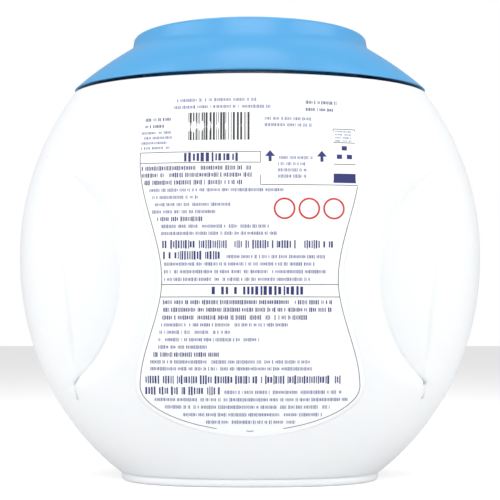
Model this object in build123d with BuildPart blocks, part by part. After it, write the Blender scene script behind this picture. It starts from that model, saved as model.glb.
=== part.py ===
"""A fishbowl tub for laundry pods: a blown bowl with a round neck, and an oblong lid that turns off it."""

import math
import os

from build123d import *

# Bowl, in millimetres
BOWL_WIDTH = 248.0
BOWL_DEPTH = 148.0
SHOULDER_HEIGHT = 207.4
BELLY_HEIGHT = 120.0          # where the bowl is widest
UPPER_SIDE_RISE = 136.0       # half height of the curve that the sides follow above the belly
LOWER_SIDE_RISE = 138.8       # and below it
UPPER_FACE_RISE = 223.0       # the same for the faces
LOWER_FACE_RISE = 157.0
SIDE_POWER = 2.03
BELLY_SQUARENESS = 2.45       # plan exponent: 2 is an ellipse, more is squarer
SHOULDER_SQUARENESS = 1.95
WALL = 1.4

# Foot
SEAM_HEIGHT = 4.2             # where the bowl starts
FOOT_STEP = 0.6               # the foot stands this far inside the bowl's lower edge
FOOT_ROUND = 1.8
FOOT_RING = 9.0               # width of the ring that the tub stands on
PUSH_UP = 3.0                 # hollow of the base
PUSH_UP_SLOPE = 4.0

# Grip scoops, two on each face
SCOOP_REACH = 132.0           # from the middle of the tub to the scoop's centre
SCOOP_HEIGHT = 105.0
SCOOP_RADIUS = 67.0
SCOOP_SQUARENESS = 2.1        # plan exponent of the scoop's floor
SCOOP_SINK = 2.0              # how much thinner the floor's oblong is, each side
SCOOP_SIDE_STEP = 0.2         # and how much narrower

# Neck and its thread
NECK_RADIUS = 54.5
NECK_WALL = 1.6
STARTS = 4
LEAD = 96.0                   # rise in a whole turn
RAMP_HEIGHT = 3.0
RAMP_REACH = 2.2
RAMP_SWEEP = 45.0             # degrees
RAMP_START = -5.0
LUG_HEIGHT = 3.0
LUG_SWEEP = 20.0
LUG_START = 0.0
LUG_BASE = 5.0                # lowest corner of a lug above the shoulder
THREAD_CLEARANCE = 0.4        # radial
THREAD_PLAY = 0.5             # along the axis
RIB_STEP = 5.0                # degrees between two sections of a rib
RIB_BEVEL = 0.7
RIB_ROOT = 0.8                # how deep a rib is rooted in its wall

# Lid
LID_GAP = 1.8                 # shoulder to the lid's rim
LID_WALL = 1.8
FLANGE_RISE = 22.4            # rim to the top of the flange's ends
FLANGE_BULGE = 2.4            # how far the ends' slope bows out
FLANGE_FACE_DRAW = 9.0        # how far the flange's faces draw in by its top
FLANGE_FACE_POWER = 3.0
CROWN_HEIGHT = 27.8           # rim to the top
CROWN_RADIUS = 63.2           # at the top
CROWN_DRAFT = 8.0             # degrees
CROWN_ROOT = 20.0             # depth of the crown's cone below its top
CROWN_ROUND = 1.0
SKIRT_WALL = 1.5
SKIRT_LIFT = 1.2              # lid's rim to the skirt's lower edge
FLANGE_SECTIONS = 6

# Seal disc
LINER_THICKNESS = 1.0
LINER_CLEARANCE = 0.5         # radial, in the skirt
SEAL_GAP = 0.25               # above it and below it

# Labels
FILM = 0.2
FILM_GAP = 0.05
LABEL_TOP = 197.0
LABEL_BOTTOM = 27.0
LABEL_SHOULDER = 57.5         # half width at its upper bulge
LABEL_WAIST = 46.0
LABEL_SKIRT = 57.0            # half width at its lower bulge
LABEL_SHOULDER_HEIGHT = 163.0
LABEL_WAIST_HEIGHT = 104.0
LABEL_SKIRT_HEIGHT = 52.0
LABEL_TOP_WIDTH = 50.0        # half width of its straight top edge
LABEL_FOOT_WIDTH = 30.0       # half width where the bottom arc starts
LABEL_BOTTOM_SAG = 3.0

BOWL_STEPS = 4                # sections from the belly to the foot, and to the shoulder
PLAN_POINTS = 24
CUT = 200.0                   # longer than anything it cuts

# Levels and radii that follow from the values above
RIM_HEIGHT = SHOULDER_HEIGHT + LID_GAP
LID_TOP = RIM_HEIGHT + CROWN_HEIGHT
CROWN_CEILING = LID_TOP - LID_WALL
LINER_BASE = CROWN_CEILING - SEAL_GAP - LINER_THICKNESS
NECK_TOP = LINER_BASE - SEAL_GAP
SKIRT_BORE = NECK_RADIUS + RAMP_REACH + THREAD_CLEARANCE
LUG_RADIUS = NECK_RADIUS + THREAD_CLEARANCE
LUG_LEVEL = SHOULDER_HEIGHT + LUG_BASE
RAMP_LEVEL = LUG_LEVEL + LUG_HEIGHT + THREAD_PLAY + LEAD * (RAMP_START - LUG_START) / 360


def ease(share):
    """A smooth step from 0 to 1."""
    return share * share * (3 - 2 * share)


def half_width(height):
    """Half the bowl's width at a height."""
    reach = UPPER_SIDE_RISE if height > BELLY_HEIGHT else LOWER_SIDE_RISE
    rise = abs(height - BELLY_HEIGHT) / reach
    return BOWL_WIDTH / 2 * (1 - rise**SIDE_POWER) ** (1 / SIDE_POWER)


def half_depth(height):
    """Half the bowl's depth at a height."""
    reach = UPPER_FACE_RISE if height > BELLY_HEIGHT else LOWER_FACE_RISE
    rise = (height - BELLY_HEIGHT) / reach
    return BOWL_DEPTH / 2 * math.sqrt(1 - rise * rise)


def squareness(height):
    """The bowl's plan exponent at a height."""
    share = (height - BELLY_HEIGHT) / (SHOULDER_HEIGHT - BELLY_HEIGHT)
    drop = BELLY_SQUARENESS - SHOULDER_SQUARENESS
    return BELLY_SQUARENESS - drop * ease(min(max(share, 0), 1))


def oblong(width, depth, power):
    """Points of the closed curve |x / width| ** power + |y / depth| ** power = 1."""
    points = []
    for index in range(PLAN_POINTS):
        turn = 2 * math.pi * (index + 0.5) / PLAN_POINTS
        across, along = math.cos(turn), math.sin(turn)
        x = math.copysign(width * abs(across) ** (2 / power), across)
        y = math.copysign(depth * abs(along) ** (2 / power), along)
        points.append((x, y))
    return points


def bowl_levels():
    """Heights of the bowl's sections, closer together towards its foot and its shoulder."""
    levels = []
    for index in range(-BOWL_STEPS, BOWL_STEPS + 1):
        share = math.sin(math.pi / 2 * index / BOWL_STEPS) * 0.5 + index / BOWL_STEPS * 0.5
        end = SEAM_HEIGHT if index < 0 else SHOULDER_HEIGHT
        levels.append(BELLY_HEIGHT + abs(share) * (end - BELLY_HEIGHT))
    return levels


def plain_bowl(grow, narrow=0.0, thin=0.0, power=None):
    """The bowl's smooth form, with its skin moved out by grow."""
    with BuildPart() as form:
        for level in bowl_levels():
            top = level == bowl_levels()[-1]
            height = level + grow if top and grow < 0 else level
            width = half_width(level) + grow - narrow
            depth = half_depth(level) + grow - thin
            with BuildSketch(Plane.XY.offset(height)):
                with BuildLine():
                    Spline(*oblong(width, depth, power or squareness(level)), periodic=True)
                make_face()
        loft()
    return form.part


def foot_plan(grow):
    """Points of the foot's outline, moved out by grow."""
    width = half_width(SEAM_HEIGHT) - FOOT_STEP + grow
    depth = half_depth(SEAM_HEIGHT) - FOOT_STEP + grow
    return oblong(width, depth, BELLY_SQUARENESS)


def tub_form(grow):
    """The bowl with its scoops, foot and hollow base, with its skin moved out by grow."""
    body = plain_bowl(grow)
    floor = plain_bowl(grow, SCOOP_SIDE_STEP, SCOOP_SINK, SCOOP_SQUARENESS)
    with BuildPart() as scoops:
        with Locations((-SCOOP_REACH, 0, SCOOP_HEIGHT), (SCOOP_REACH, 0, SCOOP_HEIGHT)):
            Cylinder(SCOOP_RADIUS - grow, CUT, rotation=(90, 0, 0))
    with BuildPart() as scoop_floors:
        add(floor)
        add(scoops.part, mode=Mode.INTERSECT)
    with BuildPart() as foot:
        with BuildSketch(Plane.XY.offset(-grow)):
            with BuildLine():
                Spline(*foot_plan(grow), periodic=True)
            make_face()
        extrude(amount=SEAM_HEIGHT + grow + WALL)
        fillet(foot.edges().group_by(Axis.Z)[0], FOOT_ROUND + grow)
    with BuildPart() as form:
        add(body)
        add(scoops.part, mode=Mode.SUBTRACT)
        add(scoop_floors.part)
        add(foot.part)
        for level, inset in ((-grow, FOOT_RING), (PUSH_UP - grow, FOOT_RING + PUSH_UP_SLOPE)):
            with BuildSketch(Plane.XY.offset(level)):
                with BuildLine():
                    Spline(*foot_plan(-grow - inset), periodic=True)
                make_face()
        loft(mode=Mode.SUBTRACT)
    return form.part


def helical_ribs(root, tip, base, height, start, sweep):
    """Ribs that climb the thread's lead, one for each start."""
    steps = round(sweep / RIB_STEP)
    with BuildPart() as rib:
        for index in range(steps + 1):
            turn = start + sweep * index / steps
            across = (math.cos(math.radians(turn)), math.sin(math.radians(turn)), 0)
            ahead = (across[1], -across[0], 0)
            middle = base + height / 2 + LEAD * (turn - start) / 360
            with BuildSketch(Plane((0, 0, middle), x_dir=across, z_dir=ahead)):
                with BuildLine():
                    Polyline(
                        (root, -height / 2),
                        (tip, -height / 2 + RIB_BEVEL),
                        (tip, height / 2 - RIB_BEVEL),
                        (root, height / 2),
                        close=True,
                    )
                make_face()
        loft(ruled=True)
    with BuildPart() as ribs:
        with PolarLocations(0, STARTS):
            add(rib.part)
    return ribs.part


def flange_form(grow, base):
    """The lid's oblong dome, from a base level up, with its skin moved out by grow."""
    rim_width = half_width(SHOULDER_HEIGHT)
    rim_depth = half_depth(SHOULDER_HEIGHT)
    shoulder = CROWN_RADIUS + (CROWN_HEIGHT - FLANGE_RISE) * math.tan(math.radians(CROWN_DRAFT))
    draw = rim_width - shoulder - 1.0
    with BuildPart() as form:
        for index in range(FLANGE_SECTIONS):
            share = index / (FLANGE_SECTIONS - 1)
            bow = 4 * FLANGE_BULGE * share * (1 - share)
            width = rim_width - draw * share + bow * math.cos(math.radians(35)) + grow
            depth = rim_depth - FLANGE_FACE_DRAW * share**FLANGE_FACE_POWER + grow
            level = RIM_HEIGHT + FLANGE_RISE * share if index else base
            with BuildSketch(Plane.XY.offset(level)):
                with BuildLine():
                    Spline(*oblong(width, depth, SHOULDER_SQUARENESS), periodic=True)
                make_face()
        loft()
    return form.part


def label_outline(side):
    """The label's outline, a prism that cuts it from a skin over one face; side is -1 or 1."""
    with BuildPart() as prism:
        with BuildSketch(Plane.XZ) as outline:
            with BuildLine():
                edge = Spline(
                    (LABEL_TOP_WIDTH, LABEL_TOP),
                    (LABEL_SHOULDER, LABEL_SHOULDER_HEIGHT),
                    (LABEL_WAIST, LABEL_WAIST_HEIGHT),
                    (LABEL_SKIRT, LABEL_SKIRT_HEIGHT),
                    (LABEL_FOOT_WIDTH, LABEL_BOTTOM),
                )
                mirror(edge, about=Plane.YZ)
                Line((LABEL_TOP_WIDTH, LABEL_TOP), (-LABEL_TOP_WIDTH, LABEL_TOP))
                ThreePointArc(
                    (LABEL_FOOT_WIDTH, LABEL_BOTTOM),
                    (0, LABEL_BOTTOM - LABEL_BOTTOM_SAG),
                    (-LABEL_FOOT_WIDTH, LABEL_BOTTOM),
                )
            make_face()
        extrude(amount=-side * CUT)
    return prism.part


tub_skin = tub_form(0)
tub_hollow = tub_form(-WALL)
ramps = helical_ribs(
    NECK_RADIUS - RIB_ROOT, NECK_RADIUS + RAMP_REACH, RAMP_LEVEL, RAMP_HEIGHT, RAMP_START, RAMP_SWEEP
)
with BuildPart() as tub_body:
    add(tub_skin)
    with BuildSketch(Plane.XY.offset(SHOULDER_HEIGHT - WALL)):
        Circle(NECK_RADIUS)
    extrude(amount=NECK_TOP - SHOULDER_HEIGHT + WALL)
    add(tub_hollow, mode=Mode.SUBTRACT)
    with BuildSketch(Plane.XY.offset(SHOULDER_HEIGHT - 2 * WALL)):
        Circle(NECK_RADIUS - NECK_WALL)
    extrude(amount=CUT, mode=Mode.SUBTRACT)
    add(ramps)

lugs = helical_ribs(
    SKIRT_BORE + RIB_ROOT, LUG_RADIUS, LUG_LEVEL, LUG_HEIGHT, LUG_START, LUG_SWEEP
)
dome = flange_form(0, RIM_HEIGHT)
dome_hollow = flange_form(-LID_WALL, RIM_HEIGHT - LID_WALL)
with BuildPart() as lid:
    add(dome)
    with BuildSketch(Plane.XY.offset(LID_TOP)):
        Circle(CROWN_RADIUS)
    extrude(amount=-CROWN_ROOT, taper=-CROWN_DRAFT)
    fillet(lid.edges().filter_by(GeomType.CIRCLE).group_by(Axis.Z)[-1], CROWN_ROUND)
    add(dome_hollow, mode=Mode.SUBTRACT)
    with BuildSketch(Plane.XY.offset(CROWN_CEILING)):
        Circle(CROWN_RADIUS - LID_WALL)
    extrude(amount=-CROWN_ROOT, taper=-CROWN_DRAFT, mode=Mode.SUBTRACT)
    with BuildSketch(Plane.XY.offset(RIM_HEIGHT + SKIRT_LIFT)):
        Circle(SKIRT_BORE + SKIRT_WALL)
        Circle(SKIRT_BORE, mode=Mode.SUBTRACT)
    extrude(amount=CROWN_HEIGHT - SKIRT_LIFT - LID_WALL / 2)
    add(lugs)

with BuildPart() as lid_liner:
    with BuildSketch(Plane.XY.offset(LINER_BASE)):
        Circle(SKIRT_BORE - LINER_CLEARANCE)
    extrude(amount=LINER_THICKNESS)

label_skin = plain_bowl(FILM_GAP + FILM)
label_back = plain_bowl(FILM_GAP)
back_outline = label_outline(-1)
front_outline = label_outline(1)
with BuildPart() as back_label:
    add(label_skin)
    add(label_back, mode=Mode.SUBTRACT)
    add(back_outline, mode=Mode.INTERSECT)

with BuildPart() as front_label:
    add(label_skin)
    add(label_back, mode=Mode.SUBTRACT)
    add(front_outline, mode=Mode.INTERSECT)

tub_body.part.label = "tub_body"
lid.part.label = "lid"
lid_liner.part.label = "lid_liner"
back_label.part.label = "back_label"
front_label.part.label = "front_label"

os.makedirs("parts", exist_ok=True)
export_step(tub_body.part, "parts/tub_body.step")
export_step(lid.part, "parts/lid.step")
export_step(lid_liner.part, "parts/lid_liner.step")
export_step(back_label.part, "parts/back_label.step")
export_step(front_label.part, "parts/front_label.step")
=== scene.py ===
"""A fishbowl tub for laundry pods: its blown bowl, oblong screw lid, seal disc, printed labels and stage."""

import math

import bpy
import numpy as np
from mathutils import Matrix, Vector


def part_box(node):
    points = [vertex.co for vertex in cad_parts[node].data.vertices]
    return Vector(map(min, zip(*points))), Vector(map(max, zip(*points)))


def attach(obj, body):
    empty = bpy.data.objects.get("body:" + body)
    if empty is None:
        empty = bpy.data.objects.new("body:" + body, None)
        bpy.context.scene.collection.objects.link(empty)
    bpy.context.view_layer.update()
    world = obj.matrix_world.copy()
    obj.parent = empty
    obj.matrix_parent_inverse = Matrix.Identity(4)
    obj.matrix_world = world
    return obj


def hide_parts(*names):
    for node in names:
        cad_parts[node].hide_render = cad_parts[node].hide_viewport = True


bl_info = {
    "name": "Laundry pod tub",
    "version": (1, 0, 0),
    "blender": (4, 5, 0),
    "location": "View3D > Sidebar > Pod tub",
    "description": "Builds the bowl, lid, labels and finishes of a laundry pod tub around its frame",
    "category": "Add Mesh",
}

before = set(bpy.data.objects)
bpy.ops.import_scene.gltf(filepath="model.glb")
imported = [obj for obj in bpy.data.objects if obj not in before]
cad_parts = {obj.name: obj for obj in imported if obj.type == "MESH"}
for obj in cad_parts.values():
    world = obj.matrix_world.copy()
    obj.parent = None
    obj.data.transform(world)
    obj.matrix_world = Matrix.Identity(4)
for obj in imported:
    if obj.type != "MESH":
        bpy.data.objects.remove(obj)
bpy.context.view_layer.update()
TUB_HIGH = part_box("tub_body")[1]
LID_LOW, LID_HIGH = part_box("lid")
LINER_LOW, LINER_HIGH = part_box("lid_liner")

MM = 0.001


# Sizes and colours that a user would change


def length(name, description, default):
    """A length property, in metres."""
    return bpy.props.FloatProperty(
        name=name, description=description, default=default, min=0.0, subtype="DISTANCE", unit="LENGTH"
    )


def colour(name, description, default):
    """A colour property."""
    return bpy.props.FloatVectorProperty(
        name=name, description=description, default=default, size=3, min=0.0, max=1.0, subtype="COLOR"
    )


def strength(name, description, default):
    """The strength of a lamp or of the even light."""
    return bpy.props.FloatProperty(name=name, description=description, default=default, min=0.0)


class TubSizes(bpy.types.PropertyGroup):
    """Sizes of the blown bowl."""

    shoulder_height: length("Shoulder", "Height of the flat shoulder", 207.4 * MM)
    belly_height: length("Belly", "Height of the widest place", 120 * MM)
    upper_side_rise: length("Upper side rise", "Half height of the sides' curve above the belly", 136 * MM)
    lower_side_rise: length("Lower side rise", "Half height of the sides' curve below the belly", 138.8 * MM)
    upper_face_rise: length("Upper face rise", "Half height of the faces' curve above the belly", 223 * MM)
    lower_face_rise: length("Lower face rise", "Half height of the faces' curve below the belly", 157 * MM)
    depth: length("Depth", "Depth of the bowl at its belly", 148 * MM)
    seam_height: length("Seam", "Height of the line between the foot and the bowl", 4.2 * MM)
    wall: length("Wall", "Thickness of the blown wall", 1.4 * MM)
    scoop_reach: length("Scoop reach", "From the middle of the tub to a scoop's centre", 132 * MM)
    scoop_height: length("Scoop height", "Height of the scoops' centres", 105 * MM)
    scoop_radius: length("Scoop radius", "Radius of the crease round a scoop", 67 * MM)
    scoop_depth: length("Scoop depth", "Depth of the crease under the bowl's face", 7.5 * MM)
    scoop_roll: length("Scoop roll", "Width of the soft shoulder beside the crease", 13 * MM)
    ridge_step: length("Ridge step", "Height of the soft step outside the scoop's floor", 1.3 * MM)


class LidSizes(bpy.types.PropertyGroup):
    """Sizes of the oblong lid."""

    wall: length("Wall", "Thickness of the moulded wall", 1.8 * MM)
    flange_rise: length("Flange rise", "From the rim to the top of the flange's ends", 22.4 * MM)
    crown_radius: length("Crown radius", "Radius of the crown at its top", 63.2 * MM)
    crown_draft: bpy.props.FloatProperty(
        name="Crown draft", description="Slope of the crown's wall", default=math.radians(8),
        subtype="ANGLE", unit="ROTATION",
    )
    crown_round: length("Crown round", "Radius of the crown's upper edge", 1.0 * MM)
    skirt_wall: length("Skirt wall", "Thickness of the inner skirt", 1.5 * MM)


class LabelSizes(bpy.types.PropertyGroup):
    """Sizes of the waisted labels and their print."""

    lift: length("Lift", "How far the film stands off the bowl", 0.2 * MM)
    ink_lift: length("Ink lift", "How far the ink stands off the film", 0.04 * MM)
    line_width: length("Line width", "Width of the printed rules", 0.32 * MM)
    seed: bpy.props.IntProperty(name="Seed", description="Seed of the greeked rows", default=11, min=0)


class FinishColours(bpy.types.PropertyGroup):
    """Colours of the plastics, film and inks."""

    white: colour("Bowl", "White of the blown bowl", (0.875, 0.885, 0.9))
    blue: colour("Lid", "Blue of the moulded lid", (0.085, 0.375, 0.72))
    film: colour("Film", "White of the label film", (0.93, 0.94, 0.95))
    navy: colour("Dark ink", "Navy ink of the headings", (0.018, 0.022, 0.16))
    slate: colour("Pale ink", "Greyed navy ink of the small rows", (0.13, 0.15, 0.34))
    black: colour("Line ink", "Black ink of the rules and stripes", (0.02, 0.02, 0.025))
    red: colour("Red ink", "Red ink of the rings", (0.6, 0.03, 0.02))
    foam: colour("Seal", "Off-white of the foamed seal disc", (0.8, 0.8, 0.77))


class StageSettings(bpy.types.PropertyGroup):
    """The camera, lamps and floor."""

    distance: length("Distance", "From the middle of the tub to the camera", 740 * MM)
    eye_height: length("Eye height", "Height of the camera", 79.3 * MM)
    aim_height: length("Aim height", "Height that the camera looks at", 122.8 * MM)
    view_width: length("View width", "Width seen at the middle of the tub", 271.9 * MM)
    side_power: strength("Side lamps", "Power of the side lamps", 5.2)
    front_power: strength("Front lamp", "Power of the front lamp", 4.6)
    top_power: strength("Top lamp", "Power of the top lamp", 5.0)
    room_light: strength("Room light", "Strength of the even light", 0.42)


# Curves and surfaces of the bowl


def ease(share):
    """A smooth step from 0 to 1."""
    share = np.clip(share, 0.0, 1.0)
    return share * share * (3 - 2 * share)


SIDE_POWER = 2.03
BELLY_SQUARENESS = 2.45
SHOULDER_SQUARENESS = 1.95
HALF_WIDTH = TUB_HIGH.x - 0.05 * MM

CREASE_LIMIT = 0.84           # share of the bowl's half width that the crease keeps inside
CREASE_BLEND = 4 * MM
RIDGE_LIMIT = 0.93            # the same for the step outside the scoop's floor
RIDGE_PLACE = 94.5 * MM       # that step's place level with the scoop's centre
RIDGE_LEAN = 8.0 * MM         # and how far it leans out over a scoop's radius
SCOOP_TOP = 66 * MM           # above a scoop's centre, where its sink has faded out
SCOOP_TOP_FADE = 26 * MM
SCOOP_FOOT = 60 * MM          # the same below it
SCOOP_FOOT_FADE = 22 * MM
STEP_MIDDLE = 4 * MM          # above a scoop's centre
STEP_REACH = 52 * MM
STEP_FADE = 26 * MM
STEP_START = 0.93             # shares of the way from the crease to the ridge
STEP_RUN = 0.1
FLOOR_CLIMB = 0.62            # share of the crease's depth that the floor has climbed by the ridge
FLOOR_POWER = 1.5
GROOVE_DEPTH = 0.5 * MM
GROOVE_WIDTH = 0.55 * MM
NARROWEST = 1 * MM            # keeps a vanishing width from dividing


def half_width(sizes, height):
    """Half the bowl's width at a height."""
    reach = np.where(height > sizes.belly_height, sizes.upper_side_rise, sizes.lower_side_rise)
    rise = np.abs(height - sizes.belly_height) / reach
    return HALF_WIDTH * (1 - rise**SIDE_POWER) ** (1 / SIDE_POWER)


def half_depth(sizes, height):
    """Half the bowl's depth at a height."""
    reach = np.where(height > sizes.belly_height, sizes.upper_face_rise, sizes.lower_face_rise)
    rise = (height - sizes.belly_height) / reach
    return sizes.depth / 2 * np.sqrt(1 - rise**2)


def squareness(sizes, height):
    """The bowl's plan exponent at a height: 2 is an ellipse, and more is squarer."""
    share = (height - sizes.belly_height) / (sizes.shoulder_height - sizes.belly_height)
    return BELLY_SQUARENESS - (BELLY_SQUARENESS - SHOULDER_SQUARENESS) * ease(share)


def crease_offset(sizes, height):
    """How far from the tub's middle a scoop's crease lies, held inside the bowl's side beyond its ends."""
    drop = sizes.scoop_radius**2 - (height - sizes.scoop_height) ** 2
    arc = sizes.scoop_reach - np.sqrt(np.maximum(drop, 0))
    side = CREASE_LIMIT * half_width(sizes, height)
    return (arc + side - np.sqrt((arc - side) ** 2 + CREASE_BLEND**2)) / 2


def ridge_offset(sizes, height):
    """How far from the tub's middle the soft step outside a scoop's floor lies."""
    share = (height - sizes.scoop_height) / sizes.scoop_radius
    return np.minimum(RIDGE_PLACE + RIDGE_LEAN * share, RIDGE_LIMIT * half_width(sizes, height))


def scoop_sink(sizes, across, height):
    """How far the bowl's face is sunk by its scoops, at places across it and up it."""
    across = np.abs(across)
    crease = crease_offset(sizes, height)
    ridge = ridge_offset(sizes, height)
    side = half_width(sizes, height)
    climb = height - sizes.scoop_height
    beyond = np.hypot(across - sizes.scoop_reach, climb) - sizes.scoop_radius
    fade = ease((SCOOP_TOP - climb) / SCOOP_TOP_FADE) * ease((climb + SCOOP_FOOT) / SCOOP_FOOT_FADE)
    deep = sizes.scoop_depth * fade
    roll = np.clip(1 - beyond / sizes.scoop_roll, 0, 1) ** 2
    run = np.clip((across - crease) / np.maximum(ridge - crease, NARROWEST), 0, 2)
    outward = np.clip((across - ridge) / np.maximum(side - ridge, NARROWEST), 0, 1)
    step = sizes.ridge_step * fade * ease((STEP_REACH - np.abs(climb - STEP_MIDDLE)) / STEP_FADE)
    floor = deep * (1 - FLOOR_CLIMB * np.minimum(run, 1)) + step * (1 - ease((run - STEP_START) / STEP_RUN))
    floor = floor * (1 - outward) ** FLOOR_POWER
    groove = GROOVE_DEPTH * fade * np.exp(-((beyond / GROOVE_WIDTH) ** 2))
    return np.where(beyond > 0, deep * roll + step * roll, floor) + groove


def face_depth(sizes, across, height):
    """How far the bowl's face stands in front of its middle plane."""
    width = half_width(sizes, height)
    depth = half_depth(sizes, height)
    power = squareness(sizes, height)
    share = np.clip(np.abs(across) / width, 0, 1)
    return depth * (1 - share**power) ** (1 / power) - scoop_sink(sizes, across, height)


# Neck and thread

THREAD_STARTS = 4
THREAD_LEAD = 96 * MM
NECK_RADIUS = 54.5 * MM
NECK_WALL = 1.6 * MM
RAMP_REACH = 2.2 * MM
RAMP_HEIGHT = 3 * MM
RAMP_START = -5               # degrees
RAMP_SWEEP = 45
LUG_HEIGHT = 3 * MM
LUG_LEVEL = 5 * MM            # lowest corner of a lug above the shoulder
LUG_START = 0
LUG_SWEEP = 20
THREAD_GAP = 0.4 * MM
THREAD_PLAY = 0.5 * MM
RIB_STEP = 2.5                # degrees between two sections of a rib
RIB_BEVEL = 0.7 * MM
RIB_ROOT = 0.8 * MM


# Meshes


def new_object(name, points, faces, smooth=True):
    """A mesh object at the origin."""
    mesh = bpy.data.meshes.new(name)
    mesh.from_pydata([tuple(point) for point in points], [], [tuple(face) for face in faces])
    mesh.update()
    mesh.validate()
    mesh.polygons.foreach_set("use_smooth", [smooth] * len(mesh.polygons))
    made = bpy.data.objects.new(name, mesh)
    bpy.context.scene.collection.objects.link(made)
    return made


def ring_faces(ring_count, ring_size, start=0, closed=False):
    """Quads between rings of equal size, numbered one after another."""
    faces = []
    for ring in range(ring_count if closed else ring_count - 1):
        low = start + ring * ring_size
        high = start + (ring + 1) % ring_count * ring_size
        for index in range(ring_size):
            after = (index + 1) % ring_size
            faces.append((low + index, low + after, high + after, high + index))
    return faces


class Shell:
    """Points and faces that are gathered before they become one mesh."""

    def __init__(self):
        self.points = []
        self.faces = []

    def add(self, points, faces):
        """Adds faces whose numbers count from the first of their own points."""
        start = len(self.points)
        self.points.extend(points)
        self.faces.extend(tuple(start + index for index in face) for face in faces)

    def add_rings(self, rings, capped=False, closed=False):
        """Adds rings from the middle of the underside, up the outside and down the inside."""
        size = len(rings[0])
        points = [tuple(point) for ring in rings for point in ring]
        faces = ring_faces(len(rings), size, closed=closed)
        if capped:
            first, last = len(points), len(points) + 1
            points.append((0.0, 0.0, rings[0][0][2]))
            points.append((0.0, 0.0, rings[-1][0][2]))
            end = (len(rings) - 1) * size
            for index in range(size):
                after = (index + 1) % size
                faces.append((first, after, index))
                faces.append((last, end + index, end + after))
        self.add(points, faces)

    def add_ribs(self, root, tip, base, height, start, sweep):
        """Adds the thread's ribs, one for each start."""
        steps = round(sweep / RIB_STEP)
        half = height / 2
        profile = ((root, -half), (tip, RIB_BEVEL - half), (tip, half - RIB_BEVEL), (root, half))
        for turn_start in range(THREAD_STARTS):
            sections = []
            for index in range(steps + 1):
                swept = sweep * index / steps
                turn = math.radians(start + swept + 360 / THREAD_STARTS * turn_start)
                middle = base + half + THREAD_LEAD * swept / 360
                sections.extend(
                    (radius * math.cos(turn), radius * math.sin(turn), middle + rise)
                    for radius, rise in profile
                )
            faces = ring_faces(steps + 1, 4)
            faces.append((0, 3, 2, 1))
            faces.append(tuple(4 * steps + index for index in range(4)))
            if tip > root:
                faces = [tuple(reversed(face)) for face in faces]
            self.add(sections, faces)

    def build(self, name):
        """The gathered mesh as an object."""
        return new_object(name, self.points, self.faces)


PANEL_COLUMNS = 30
FLOOR_COLUMNS = 18
SIDE_COLUMNS = 16
BOWL_ROWS = 200


def column_turns(sizes, height):
    """Shares of a quarter turn for the bowl's columns, packed along the crease and the step."""
    width = half_width(sizes, height)
    power = squareness(sizes, height)
    crease, ridge = (
        2 / math.pi * np.arcsin(np.clip(offset / width, 0, 1) ** (power / 2))
        for offset in (crease_offset(sizes, height), ridge_offset(sizes, height))
    )
    panel = crease * (1 - (1 - np.arange(PANEL_COLUMNS) / PANEL_COLUMNS) ** 1.8)
    share = np.arange(FLOOR_COLUMNS) / FLOOR_COLUMNS
    floor = crease + (ridge - crease) * (share**1.5 * (1 - share) + share * (1 - (1 - share) ** 1.5))
    outside = ridge + (1 - ridge) * np.arange(SIDE_COLUMNS + 1) / SIDE_COLUMNS
    return np.concatenate([panel, floor, outside])


def whole_ring(across, along, height):
    """A ring of points from one quarter of it, which starts in the middle of the back face's side."""
    quarter = len(across) - 1
    points = []
    for turn in range(4):
        columns = range(quarter) if turn % 2 == 0 else range(quarter, 0, -1)
        side = 1 if turn < 2 else -1
        face = -1 if turn in (0, 3) else 1
        points.extend((side * across[column], face * along[column], height) for column in columns)
    return points


def oblong_ring(turns, width, depth, power, height):
    """A ring on |x / width| ** power + |y / depth| ** power = 1, at shares of a quarter turn."""
    across = width * np.sin(turns * math.pi / 2) ** (2 / power)
    along = depth * np.maximum(np.cos(turns * math.pi / 2), 0) ** (2 / power)
    return whole_ring(across, along, height)


def blended(first, second, share):
    """Points part of the way from one ring to another."""
    return [tuple(a + (b - a) * share for a, b in zip(p, q)) for p, q in zip(first, second)]


def bowl_row(sizes, height, inset=0.0):
    """A ring of the bowl's skin at a height, moved inwards by inset."""
    turns = column_turns(sizes, height)
    width = float(half_width(sizes, height))
    power = float(squareness(sizes, height))
    across = width * np.sin(turns * math.pi / 2) ** (2 / power)
    along = np.maximum(face_depth(sizes, across, height), 0)
    along[-1] = 0
    return whole_ring(across * (1 - inset / width), along * (1 - inset / along[0]), height)


def foot_row(sizes, inset, height):
    """A ring of the foot."""
    seam = sizes.seam_height
    step = 0.6 * MM
    turns = column_turns(sizes, seam)
    width = float(half_width(sizes, seam)) - step - inset
    depth = float(half_depth(sizes, seam)) - step - inset
    return oblong_ring(turns, width, depth, BELLY_SQUARENESS, height)


def arc_steps(count, start, end):
    """Angles, in radians, from one to another in degrees."""
    return [math.radians(start + (end - start) * index / count) for index in range(count + 1)]


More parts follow.
